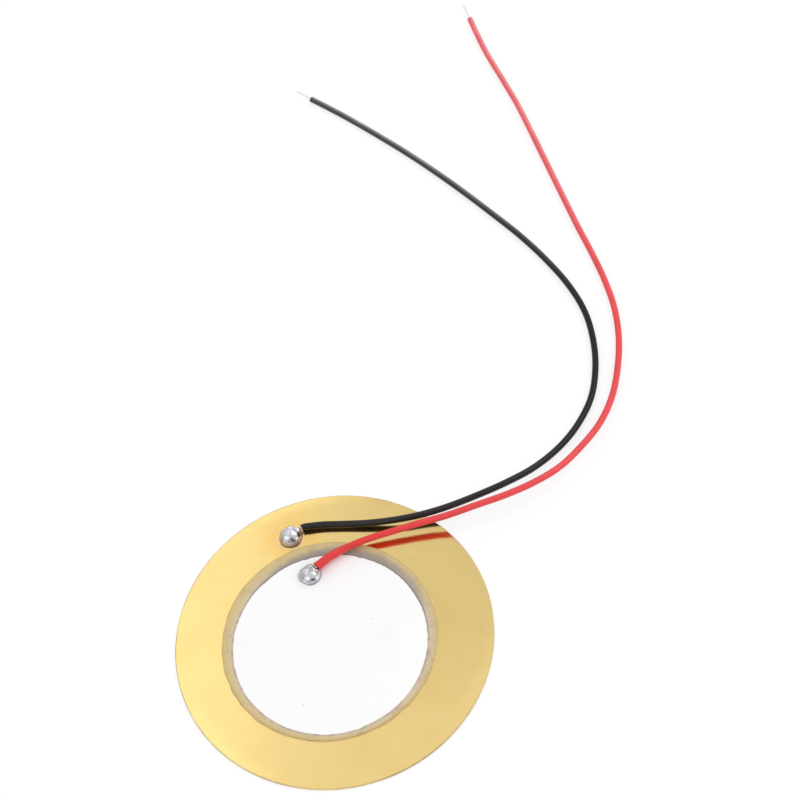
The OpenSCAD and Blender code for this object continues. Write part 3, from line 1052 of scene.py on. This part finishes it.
@dataclass
class SolderBead:
    """A steep dome of solder with a small foot and a neck drawn out along the conductor."""

    name: str
    node: str
    seat: RoundSeat
    wire_rise: float  # the conductor's end over the metal
    aim: np.ndarray  # the point that the conductor leaves towards
    bare: float  # bare conductor between the ball and the jacket
    seed: int
    flux: Flux
    pinhole: Pinhole = Pinhole()
    taper: float = 0.0  # how much the plan is drawn in beside its blunt point, as a share
    foot: float = 0.03 * MM  # radius of the hollow arc at the metal
    neck_share: float = 0.6  # of the bare length that the neck covers
    neck_tip: float = 0.145 * MM
    neck_root: float = 0.46 * MM
    uneven: float = 0.010  # how much the plan's radius wavers, as a share
    wobble: float = 0.015 * MM  # height of the pucker's waves
    wobble_length: float = 0.95 * MM
    wobble_from: float = 0.25  # the waves are full from this share of the height up
    hole_from: float = 0.4  # the pinhole is cut only above this share of the height
    columns: int = 240

    @property
    def ball(self) -> float:
        """Radius of the ball: (seat radius^2 + height^2 - 2 foot height) / (2 height)."""
        high = self.seat.tall
        return (self.seat.radius**2 + high**2 - 2.0 * self.foot * high) / (2.0 * high)

    @property
    def hub(self) -> np.ndarray:
        """The ball's centre."""
        return np.array([self.seat.x, self.seat.y, self.seat.high - self.ball])

    @property
    def wire_end(self) -> np.ndarray:
        """Where the conductor ends, on the dome's axis."""
        return np.array([self.seat.x, self.seat.y, self.seat.low + self.wire_rise])

    @property
    def towards(self) -> np.ndarray:
        """Direction in which the conductor leaves."""
        return unit(self.aim - self.wire_end)

    @property
    def jacket_start(self) -> np.ndarray:
        """Where the jacket starts.

        Returns:
            The point on the conductor's line that lies the bare length past where it leaves the
            ball, which is sqrt(ball^2 - rise^2 (1 - slope^2)) - rise slope from its end.
        """
        rise = self.wire_end[2] - self.hub[2]
        slope = self.towards[2]
        buried = math.sqrt(self.ball**2 - rise**2 * (1.0 - slope**2)) - rise * slope
        return self.wire_end + (buried + self.bare) * self.towards

    def profile(self) -> tuple[np.ndarray, np.ndarray]:
        """Half of the section, as distances out and up.

        Returns:
            A hollow arc from the metal up to the ball, tangent to both, and the ball's own arc
            from there to its top. The line between the arcs' centres gives their common angle.
        """
        high = self.seat.tall
        lean = math.degrees(math.atan2(self.foot + self.ball - high, self.seat.radius))
        foot_out, foot_up = arc(self.foot, 270.0, 180.0 + lean, 7)
        dome_out, dome_up = arc(self.ball, lean, 89.0, 74)
        out = np.concatenate([[0.5 * self.seat.radius], self.seat.radius + foot_out, dome_out[1:]])
        up = np.concatenate([[0.0], self.foot + foot_up, high - self.ball + dome_up[1:]])
        return out, up[:, None]

    def puckered(self, places: np.ndarray, up: np.ndarray) -> np.ndarray:
        """Move the skin away from the ball's centre.

        Args:
            places: The dome's points.
            up: Their rows' heights over the metal.

        Returns:
            The moved points: by waves that fade out towards the foot, less the pinhole's depth times
            exp(-(distance / width)^2).
        """
        seat, hole = self.seat, self.pinhole
        lift = smooth_rise(up, 0.0, self.wobble_from * seat.tall)
        skin = self.wobble * swell(places, self.seed, self.wobble_length) * lift
        gap = np.hypot(places[..., 0] - seat.x - hole.x, places[..., 1] - seat.y - hole.y)
        skin -= hole.depth * np.exp(-((gap / hole.width) ** 2)) * (up > self.hole_from * seat.tall)
        return places + unit(places - self.hub) * skin[..., None]

    def necked(self, places: np.ndarray) -> np.ndarray:
        """Draw out the neck.

        Args:
            places: The dome's points.

        Returns:
            The moved points. A point on the conductor's side moves along the conductor by the neck's
            length, times a smooth fall from 1 at the neck's tip radius to 0 at its root radius,
            measured from the conductor's axis.
        """
        offset = places - self.wire_end
        along = offset @ self.towards
        aside = np.linalg.norm(offset - along[..., None] * self.towards, axis=-1)
        share = (1.0 - smooth_rise(aside, self.neck_tip, self.neck_root)) * (along > 0.0)
        return places + (self.neck_share * self.bare * share)[..., None] * self.towards

    def build(self) -> tuple[Piece]:
        """Turn the dome, pucker its skin, draw out its neck and dress it.

        Returns:
            The bead. Its plan is a circle drawn in by the taper at 45 degrees either side of -X, so
            that it comes to a blunt point there.
        """
        seat, angle = self.seat, round_angles(self.columns)
        out, up = self.profile()
        point = np.where(np.cos(angle) < 0.0, np.sin(2.0 * angle) ** 2, 0.0)
        waver = self.uneven * (1.0 + ripple(angle, self.seed, lowest=2, highest=6))
        plan = 1.0 - self.taper * point - waver
        places = revolved(seat.centre, out[:, None] * plan, seat.low + up)
        places = self.necked(self.puckered(places, up))
        draft = Draft()
        rows = np.linspace(0.0, 1.0, len(places))
        draft.add_body(places, rows, np.array([*seat.centre, seat.low]), places[-1].mean(axis=0))
        tin = BrightSolder(f"{self.name}_tin", seat, self.flux, self.pinhole).material()
        return (dress(draft.build(self.name, crease=60.0), Slot.SOLDER, tin, self.node),)


def lifted(points: tuple[Place, ...], base: float, diameter: float) -> np.ndarray:
    """Turn route points into places on the lead's middle line.

    Args:
        points: Points in millimetres: x, y and the space under the lead.
        base: Height of the surface that the space is measured from, in metres.
        diameter: The lead's diameter, in metres.

    Returns:
        The places, in metres.
    """
    places = np.array(points) * MM
    places[:, 2] += base + diameter / 2.0
    return places


def spokes(angle: np.ndarray, side: np.ndarray, up: np.ndarray) -> np.ndarray:
    """Directions across a line, by row and column: cos(angle) side + sin(angle) up."""
    return np.cos(angle)[..., None] * side[:, None] + np.sin(angle)[..., None] * up[:, None]


@dataclass
class HookupLead:
    """A stranded lead: an extruded jacket over seven twisted strands, bare at both ends.

    The route is the jacket's, joint end first, in millimetres: x, y and the space under the lead,
    measured from the plate's face for the points over it and from the standing surface for those
    past it. Its first point is only what the conductor aims at: the joint says where it starts.
    """

    name: str
    slot: Slot
    pvc: PvcJacket
    joint: SolderBead
    plate_top: float
    over: tuple[Place, ...]
    past: tuple[Place, ...]
    strip: float  # bare length at the far end
    girth: tuple[Spot, ...]  # millimetres from the jacket's start, and the share of its radius there
    lip: float  # rounding of the end at the joint
    slant: float  # how far one side of that end hangs over towards the joint
    slant_width: float = 0.35 * MM
    slant_turn: float = 0.5  # the side that hangs over most, in radians from the left to the top
    far_lip: float = 0.16 * MM
    far_slant: float = 0.05 * MM
    far_slant_width: float = 0.25 * MM
    far_slant_turn: float = 0.9
    diameter: float = 0.78 * MM
    bore: float = 0.27 * MM
    strand: float = 0.083 * MM
    lay_length: float = 2.6 * MM
    tip_spread: float = 0.12 * MM  # most that a strand's tip falls short
    tip_length: float = 0.5 * MM  # the strands' last part, which takes up the difference
    tip_rows: int = 24
    waver: float = 0.006  # how much the skin's radius wavers, as a share
    waver_lengths: Spot = (2.3 * MM, 7.1 * MM)
    end_rows: tuple[float, ...] = (0.0, 0.06, 0.14, 0.25, 0.4, 0.6, 0.85, 1.15)  # behind a lip, in mm
    end_length: float = 1.5 * MM  # between an end and the first evenly spaced row
    pitch: float = 0.30 * MM  # between those rows
    strand_pitch: float = 0.24 * MM
    steps: int = 14  # between two route points
    columns: int = 28
    strand_columns: int = 8

    def route(self) -> np.ndarray:
        """The jacket's route points in metres, from where the joint lets it start."""
        over = lifted(self.over[1:], self.plate_top, self.diameter)
        return np.concatenate([[self.joint.jacket_start], over, lifted(self.past, 0.0, self.diameter)])

    def centreline(self) -> np.ndarray:
        """The conductor's whole line.

        Returns:
            Points from its end in the solder to its tip: straight ends, and between the route's
            points p1 and p2 the Catmull-Rom curve
            (2p1 + (p2-p0)t + (2p0-5p1+4p2-p3)t^2 + (3p1-p0-3p2+p3)t^3) / 2,
            kept up so that the jacket never dips below the surface.
        """
        points, start = self.route(), self.joint.wire_end
        tip = points[-1] + self.strip * unit(points[-1] - points[-2])
        knots = np.concatenate([[start], points, [tip]])
        t = (np.arange(self.steps) / self.steps)[None, :, None]
        a, b, c, d = (knots[k : len(knots) - 3 + k][:, None, :] for k in range(4))
        square, cube = 2.0 * a - 5.0 * b + 4.0 * c - d, 3.0 * b - a - 3.0 * c + d
        curve = ((2.0 * b + (c - a) * t + square * t**2 + cube * t**3) / 2.0).reshape(-1, 3)
        curve[:, 2] = np.maximum(curve[:, 2], self.diameter / 2.0)
        return np.concatenate([[start], curve, [points[-1]], [tip]])

    def frame_at(self, line: np.ndarray, places: np.ndarray) -> tuple[np.ndarray, ...]:
        """Points and directions at distances along a line.

        Args:
            line: The line's points.
            places: Distances along it, in metres.

        Returns:
            The points, the level directions to the left, the directions up from the line and the
            directions along it.
        """
        step = np.linalg.norm(np.diff(line, axis=0), axis=1)
        distance = np.concatenate([[0.0], np.cumsum(step)])
        near = 0.12 * MM
        at, before, after = (
            np.stack([np.interp(places + shift, distance, line[:, k]) for k in range(3)], axis=-1)
            for shift in (0.0, -near, near)
        )
        heading = unit(after - before)
        side = unit(np.cross([0.0, 0.0, 1.0], heading))
        return at, side, np.cross(heading, side), heading

    def spans(self) -> tuple[np.ndarray, float, float, float]:
        """Measure the conductor's line.

        Returns:
            The line, its whole length, and where the jacket starts and stops along it.
        """
        line = self.centreline()
        length = float(np.linalg.norm(np.diff(line, axis=0), axis=1).sum())
        start = float(np.linalg.norm(line[1] - line[0]))
        return line, length, start, length - self.strip

    def girth_at(self, along: np.ndarray) -> np.ndarray:
        """Share of the nominal radius at distances from the jacket's start.

        Args:
            along: Distances, in metres.

        Returns:
            The share: smooth steps between the listed values, level after the last, as heat from
            the iron leaves a jacket drawn in or swollen at its end.
        """
        knots, values = np.array(self.girth).T
        place = np.interp(along, knots * MM, np.arange(knots.size))
        low = np.minimum(place.astype(int), knots.size - 2)
        share = smooth_rise(place - low, 0.0, 1.0)
        return values[low] + (values[low + 1] - values[low]) * share

    def outline(self, start: float, stop: float) -> tuple[np.ndarray, np.ndarray]:
        """The jacket's closed section, cut along its axis.

        Args:
            start: Where the jacket starts along the line.
            stop: Where it stops.

        Returns:
            Distances along the line and radii: the near lip, the skin, the far lip and the bore.
        """
        lip, far_lip = self.lip, self.far_lip
        ends, margin = np.array(self.end_rows) * MM, self.end_length
        run = np.linspace(start + margin, stop - margin, int((stop - start) / self.pitch))
        body = np.concatenate([start + lip + ends, run, stop - far_lip - ends[::-1]])
        waver = self.waver * np.sin(body / self.waver_lengths[0]) * np.sin(body / self.waver_lengths[1])
        size = self.diameter / 2.0 * self.girth_at(body - start) * (1.0 + waver)
        lip_out, lip_on = arc(1.0, 0.0, 90.0, 5)
        near_along, near_size = start + lip * (1.0 - lip_on[::-1]), size[0] - lip * (1.0 - lip_out[::-1])
        far_along, far_size = stop - far_lip * (1.0 - lip_on), size[-1] - far_lip * (1.0 - lip_out)
        # The bore runs back from the far end: four rows, every second one of the run, and four more.
        inner = np.concatenate([
            np.linspace(stop, stop - 0.8 * margin, 4), run[::-2], np.linspace(start + MM, start, 4),
        ])
        along = np.concatenate([near_along, body[1:-1], far_along, inner])
        return along, np.concatenate([near_size, size[1:-1], far_size, np.full(inner.size, self.bore / 2.0)])

    def build_jacket(self) -> Piece:
        """Carry the jacket's closed outline along the line.

        Returns:
            The jacket, in one ring of rows. Its ends slant: each point moves along the line by the
            slant times exp(-(distance from the end / width)^2), and more on one side than the other.
        """
        line, _, start, stop = self.spans()
        along, radius = self.outline(start, stop)
        at, side, up, heading = self.frame_at(line, along)
        angle = round_angles(self.columns)
        near = self.slant * np.exp(-(((along - start) / self.slant_width) ** 2))[:, None]
        far = self.far_slant * np.exp(-(((along - stop) / self.far_slant_width) ** 2))[:, None]
        near_skew = near * (0.5 + 0.5 * np.cos(angle - self.slant_turn))
        skew = -near_skew - far * np.cos(angle - self.far_slant_turn)
        places = at[:, None] + radius[:, None, None] * spokes(angle, side, up)
        places += skew[..., None] * heading[:, None]
        places[..., 2] = np.maximum(places[..., 2], 0.0)
        draft = Draft()
        draft.add_grid(places, along, ring=True)
        return draft.build(f"{self.name}_jacket", crease=50.0)

    def build_strands(self) -> Piece:
        """Twist seven strands along the line.

        Returns:
            Six strands round a straight one in the middle. Outer strand k keeps one strand's width
            from the middle, at the angle 2 pi s / lay length + 60 k degrees, s being the distance
            along the line. The tips are cut unevenly.
        """
        line, length, _, stop = self.spans()
        body = np.linspace(0.05 * MM, stop, int(stop / self.strand_pitch))
        along = np.concatenate([body, np.linspace(stop, length, self.tip_rows)[1:]])
        at, side, up, heading = self.frame_at(line, along)
        number = np.arange(7)
        turn = math.tau * along[:, None] / self.lay_length + number * math.pi / 3.0
        away = np.where(number < 6, self.strand, 0.0)[:, None]
        trim = np.random.default_rng(71).uniform(0.0, self.tip_spread, number.size)
        short = trim * smooth_rise(along, length - self.tip_length, length)[:, None]
        middles = at[:, None] + away * spokes(turn, side, up) - heading[:, None] * short[..., None]
        section = 0.5 * self.strand * spokes(round_angles(self.strand_columns), side, up)
        draft = Draft()
        for middle in middles.transpose(1, 0, 2):
            draft.add_body(middle[:, None] + section, along, middle[0], middle[-1])
        return draft.build(f"{self.name}_strands", crease=70.0)

    def build(self, tin: bpy.types.Material) -> tuple[Piece, ...]:
        """Build and dress the jacket and the strands, and log the jacket's length.

        Args:
            tin: The strands' material.

        Returns:
            The jacket and the strands.
        """
        _, _, start, stop = self.spans()
        path = self.route()
        pvc = self.pvc.material(start)
        jacket = dress(self.build_jacket(), self.slot, pvc, f"{self.name}_insulation")
        strands = dress(self.build_strands(), Slot.TINNED, tin, f"{self.name}_conductor")
        LOG.info("%s lead: %.1f mm over its jacket", self.name, (stop - start) / MM)
        return jacket, strands


# The leads' routes in millimetres, over the plate and past it, as HookupLead takes them.
BLACK_OVER = (
    (-1.93, 13.58, 0.2), (-0.9, 13.61, 0.15), (0.6, 13.5, 0.1), (2.9, 13.1, 0.1),
    (6.0, 12.55, 0.33), (9.0, 12.18, 0.68), (12.0, 12.2, 0.82),
)
BLACK_PAST = (
    (15.0, 12.48, 1.36), (18.4, 13.13, 1.58), (21.8, 14.16, 1.45), (25.23, 15.71, 1.0),
    (28.54, 18.02, 0.5), (31.36, 20.83, 0.2), (33.77, 24.45, 0), (35.17, 28.58, 0),
    (35.76, 32.8, 0), (35.63, 37.01, 0), (34.52, 41.41, 0), (32.61, 45.91, 0),
    (30.2, 50.4, 0), (27.4, 54.8, 0), (24.4, 59.3, 0), (21.29, 63.69, 0),
    (18.09, 67.88, 0), (14.79, 71.88, 0), (11.5, 75.69, 0), (9.1, 78.3, 0), (6.8, 80.7, 0),
)
RED_OVER = (
    (-0.74, 8.05, 0.66), (0.82, 9.04, 0.58), (2.63, 9.78, 0.5), (4.91, 10.33, 0.6),
    (8.0, 10.63, 0.9), (11.0, 10.84, 1.25),
)
RED_PAST = (
    (14.5, 11.01, 1.95), (18.0, 11.46, 2.3), (21.42, 12.04, 2.4), (24.83, 13.05, 2.3),
    (28.04, 14.68, 1.9), (31.06, 17.2, 1.35), (33.88, 20.21, 0.8), (36.11, 23.83, 0.3),
    (37.72, 27.95, 0.1), (38.82, 32.28, 0), (39.26, 36.7, 0), (39.03, 41.11, 0),
    (38.41, 45.6, 0), (37.6, 50.2, 0), (36.89, 54.8, 0), (36.2, 59.4, 0),
    (35.51, 64.0, 0), (34.82, 68.61, 0), (34.06, 73.23, 0), (32.97, 78.23, 0),
    (31.85, 83.22, 0), (31.2, 87.2, 0), (30.7, 90.8, 0),
)


def soldered_leads(plate_top: float) -> tuple[HookupLead, HookupLead]:
    """The black lead, soldered to the plate, and the red one, soldered to the silver.

    Args:
        plate_top: Height of the plate's face.

    Returns:
        The two leads, each with its joint.
    """
    black_aim, red_aim = (
        lifted(over[:1], plate_top, HookupLead.diameter)[0] for over in (BLACK_OVER, RED_OVER)
    )
    on_plate = SolderBead(
        name="plate_solder", node="negative_solder", seat=RoundSeat.of("negative_solder"), seed=5,
        wire_rise=0.5 * MM, aim=black_aim, bare=0.42 * MM,
        flux=Flux(rim=0.28 * MM, darkened=(0.24, 0.19, 0.155), film=(0.84, 0.79, 0.68), bare=0.35),
    )
    on_silver = SolderBead(
        name="silver_solder", node="positive_solder", seat=RoundSeat.of("positive_solder"), seed=8,
        wire_rise=0.55 * MM, aim=red_aim, bare=0.36 * MM, taper=0.08,
        flux=Flux(rim=0.17 * MM, darkened=(0.40, 0.36, 0.36), film=(0.66, 0.645, 0.67), bare=0.85),
        pinhole=Pinhole(x=0.11 * MM, y=-0.02 * MM, depth=0.10 * MM, dark=0.9),
    )
    black_pvc = PvcJacket(
        name="black_pvc", near_colour=(0.006, 0.005, 0.005), colour=(0.012, 0.011, 0.012),
        far_sheen=(0.055, 0.055, 0.056), roughness=(0.24, 0.34), shine=(0.42, 0.24), painted_sheen_share=0.38,
    )
    red_pvc = PvcJacket(
        name="red_pvc", near_colour=(0.74, 0.036, 0.034), colour=(0.80, 0.060, 0.068),
        far_sheen=(0.82, 0.100, 0.115), roughness=(0.28, 0.40), shine=(0.45, 0.45), painted_sheen_share=0.26,
    )
    black = HookupLead(
        name="black", slot=Slot.BLACK_PVC, pvc=black_pvc, joint=on_plate, plate_top=plate_top,
        over=BLACK_OVER, past=BLACK_PAST, strip=2.4 * MM,
        girth=((0.0, 0.92), (0.8, 1.04), (4.5, 1.08), (8.0, 1.0)), lip=0.05 * MM, slant=0.05 * MM,
    )
    red = HookupLead(
        name="red", slot=Slot.RED_PVC, pvc=red_pvc, joint=on_silver, plate_top=plate_top,
        over=RED_OVER, past=RED_PAST, strip=2.9 * MM,
        girth=((0.0, 1.38), (0.5, 1.28), (2.2, 1.20), (4.6, 1.0)), lip=0.10 * MM, slant=0.17 * MM,
    )
    return black, red


# ---------------------------------------------------------------- studio


@dataclass(frozen=True)
class Patch:
    """A soft-edged round patch of the room: its direction, core and edge in degrees, and its level."""

    towards: Place
    core: float
    edge: float
    level: Feed

    def over(self, sheet: Sheet, direction: Feed, level: Feed) -> Socket:
        """Lay the patch over a level.

        Args:
            sheet: The room's nodes.
            direction: Where the ray goes, at length 1.
            level: The level without the patch.

        Returns:
            The patch's own level within core degrees of its middle, and the old one past edge degrees.
        """
        middle = tuple(unit(np.array(self.towards)))
        dot = sheet.node("ShaderNodeVectorMath", {0: direction, 1: middle}, operation="DOT_PRODUCT")
        near, far = (math.cos(math.radians(angle)) for angle in (self.core, self.edge))
        return sheet.between(sheet.rise(dot.outputs["Value"], far, near), level, self.level)


@dataclass
class Studio:
    """A pale table, a white room with patches that shiny pieces mirror, and a lamp, in a long lens."""

    target: Place = (11.594 * MM, 29.078 * MM, 0.0)
    distance: float = 190.887 * MM
    elevation: float = 55.673
    roll: float = -10.124
    lens: float = 72.0
    sensor: float = 36.0
    clip: Spot = (0.005, 20.0)
    table_half: float = 1.5
    table_white: Colour = (0.82, 0.82, 0.82)
    table_glow: float = 1.14
    table_share: float = 0.62
    mirrored_share: float = 0.85
    room_level: float = 0.93
    lamp_place: Place = (0.38, 0.15, 0.45)
    lamp_size: Spot = (0.25, 0.20)
    lamp_power: float = 0.45
    overhead: tuple[Place, float, float] = ((-0.06, 0.45, 0.89), 14.0, 28.0)
    patches: tuple[Patch, ...] = (
        Patch((0.56, 0.15, 0.81), 6.0, 24.0, 1.35),
        Patch((-0.55, -0.50, 0.67), 4.0, 36.0, 1.30),
        Patch((0.88, -0.46, 0.08), 10.0, 24.0, 1.45),
        Patch((0.28, 0.85, 0.44), 10.0, 20.0, 1.30),
        Patch((0.32, -0.83, 0.45), 12.0, 21.0, 0.12),
    )

    def build_camera(self) -> None:
        """Place the camera: back from the target along -Y, raised by the elevation, then rolled."""
        data = bpy.data.cameras.new("camera")
        data.lens, data.sensor_width = self.lens, self.sensor
        data.clip_start, data.clip_end = self.clip
        camera = placed("camera", data)
        lift = math.radians(self.elevation)
        x, y, z = self.target
        camera.location = (x, y - self.distance * math.cos(lift), z + self.distance * math.sin(lift))
        # The tilt about X and then the roll about the line of sight, as one quaternion.
        half_tilt, half_roll = (math.pi / 2.0 - lift) / 2.0, math.radians(self.roll) / 2.0
        tilt, roll = ((math.cos(half), math.sin(half)) for half in (half_tilt, half_roll))
        camera.rotation_mode = "QUATERNION"
        camera.rotation_quaternion = (
            tilt[0] * roll[0], tilt[1] * roll[0], -tilt[1] * roll[1], tilt[0] * roll[1]
        )
        bpy.context.scene.camera = camera

    def build_table(self) -> None:
        """Lay the table: pale, and mixed with plain white where the camera or a reflection sees it."""
        half = self.table_half
        corners = [(-half, -half, 0.0), (half, -half, 0.0), (half, half, 0.0), (-half, half, 0.0)]
        mesh = bpy.data.meshes.new("table")
        mesh.from_pydata(corners, [], [(0, 1, 2, 3)])
        sheet = NodeSheet("table_white")
        sheet.finish(Base_Color=self.table_white, Roughness=0.9, Specular_IOR_Level=0.0)
        glow = sheet.node("ShaderNodeEmission", {"Strength": self.table_glow})
        path = sheet.node("ShaderNodeLightPath")
        share = sheet.between(path.outputs["Is Glossy Ray"], 0.0, self.mirrored_share)
        share = sheet.between(path.outputs["Is Transmission Ray"], share, self.table_share)
        share = sheet.between(path.outputs["Is Camera Ray"], share, self.table_share)
        both = sheet.node("ShaderNodeMixShader", {0: share, 1: sheet.shader.outputs[0], 2: glow.outputs[0]})
        sheet.feed(sheet.output.inputs[0], both.outputs[0])
        mesh.materials.append(sheet.material)
        placed("table", mesh)

    def mirrored_level(self, sheet: Sheet, direction: Feed) -> Socket:
        """The level that shiny pieces mirror from the room.

        Args:
            sheet: The room's nodes.
            direction: Where the ray goes, at length 1.

        Returns:
            A broad round of ceiling, bright on its left and softer on its right, the line between
            them leaning with y, and each a little darker to the far side. Round that, a dim wall that
            falls off towards the horizon and behind the camera, with the patches over it.
        """
        x, y, z = sheet.parts(direction)
        right = sheet.rise(y, 0.40, 0.43, 0.90, 0.75)
        left = sheet.rise(y, 0.42, 0.50, 1.28, 1.17)
        side = sheet.math("SUBTRACT", x, sheet.product(sheet.math("SUBTRACT", y, 0.44), 0.45))
        ceiling = sheet.between(sheet.rise(side, -0.06, -0.15), right, left)
        wall = sheet.product(sheet.rise(z, -0.02, 0.15, 0.40, 0.72), sheet.rise(y, -0.90, -0.45, 0.70, 1.0))
        level = wall
        for patch in (Patch(*self.overhead, ceiling), *self.patches):
            level = patch.over(sheet, direction, level)
        return level

    def build_room(self) -> None:
        """Light the room: plain white to the camera, one level all round for diffuse light."""
        world = bpy.data.worlds.new("room")
        bpy.context.scene.world = world
        world.use_nodes = True
        sheet = Sheet(world.node_tree)
        direction = sheet.node("ShaderNodeTexCoord").outputs["Generated"]
        path = sheet.node("ShaderNodeLightPath")
        mirrored = self.mirrored_level(sheet, direction)
        level = sheet.between(path.outputs["Is Glossy Ray"], self.room_level, mirrored)
        strength = sheet.between(path.outputs["Is Camera Ray"], level, 1.0)
        background = sheet.node("ShaderNodeBackground", {"Color": (1.0, 1.0, 1.0), "Strength": strength})
        sheet.node("ShaderNodeOutputWorld", {0: background.outputs[0]})

    def build_lamp(self) -> None:
        """Hang one broad lamp up and to the right, behind the object and turned to the origin."""
        data = bpy.data.lights.new("softbox", "AREA")
        data.shape, data.size, data.size_y = "RECTANGLE", *self.lamp_size
        data.energy = self.lamp_power
        lamp = placed("softbox", data)
        x, y, z = lamp.location = self.lamp_place
        lamp.rotation_euler = (math.atan2(math.hypot(x, y), z), 0.0, math.atan2(-y, -x) - math.pi / 2.0)

    def build(self) -> None:
        """Build the camera, the room, the lamp and the table."""
        self.build_camera()
        self.build_room()
        self.build_lamp()
        self.build_table()
        bpy.context.scene.view_settings.view_transform = "Standard"


# ---------------------------------------------------------------- assembly


def main() -> None:
    """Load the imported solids, build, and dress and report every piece."""
    logging.basicConfig(level=logging.INFO, format="%(name)s: %(message)s")
    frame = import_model()
    Studio().build()

    plate, wafer, face, glue = (
        RoundSeat.of(node) for node in ("brass_plate", "ceramic_disc", "upper_electrode", "adhesive_bond")
    )
    black, red = soldered_leads(plate.high)
    tin = TinnedStrand().material()
    silver = FiredSilver(red.joint.seat).material()
    pieces = (
        *black.build(tin),
        *red.build(tin),
        *BrassPlate(plate, black.joint.seat).build(),
        *CeramicWafer(wafer, face, glue).build(silver),
        *black.joint.build(),
        *red.joint.build(),
    )
    for piece in pieces:
        LOG.info("%s: %d points", piece.name, len(piece.data.vertices))

    hidden = frame["nodes"]["lower_electrode"]
    hidden.data.materials.clear()
    hidden.data.materials.append(silver)
    LOG.info("lower_electrode: kept as it is, with the silver's material")


if __name__ == "__main__":
    main()
